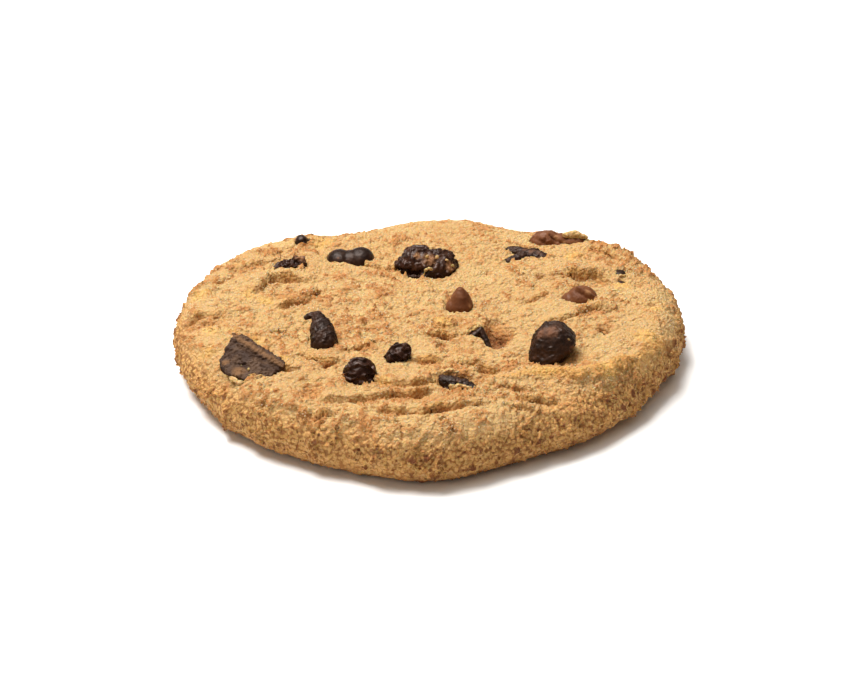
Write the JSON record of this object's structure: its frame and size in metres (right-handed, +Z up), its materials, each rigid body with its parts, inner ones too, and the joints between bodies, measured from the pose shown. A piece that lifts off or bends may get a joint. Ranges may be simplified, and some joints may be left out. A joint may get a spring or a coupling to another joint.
{
  "type": "cookie",
  "caption": "Round, soft-baked cookie with an uneven rim and a bulging side, dotted with dark and milk chocolate pieces and raisins; it lies flat on its base.",
  "frame": {"origin": "the middle of the cookie's flat base, in the middle of the box round its outline", "axes": "+Z up through the cookie's thickness; +X towards its right side and +Y towards its back, in the plane of the base"},
  "size_m": [0.0906, 0.0884, 0.0156],
  "materials": {
    "dough": "matte",
    "dark_chocolate": "satin",
    "milk_chocolate": "satin",
    "raisin": "satin"
  },
  "bodies": {
    "root": {"baked_dough": "dough", "dark_chip_back_rim": "dark_chocolate", "dark_chip_back_small": "dark_chocolate", "dark_chip_left_lying": "dark_chocolate", "dark_chip_right_buried": "dark_chocolate", "dark_chip_right_large": "dark_chocolate", "dark_chip_right_sunken": "dark_chocolate", "dark_chip_twin": "dark_chocolate", "dark_chunk_left": "dark_chocolate", "dark_melt_back": "dark_chocolate", "dark_melt_front": "dark_chocolate", "dark_shard_middle": "dark_chocolate", "milk_chip_middle": "milk_chocolate", "milk_chip_right": "milk_chocolate", "milk_chunk_back": "milk_chocolate", "raisin_back_large": "raisin", "raisin_back_left": "raisin", "raisin_front_left": "raisin", "raisin_front_middle": "raisin"}
  },
  "joints": []
}
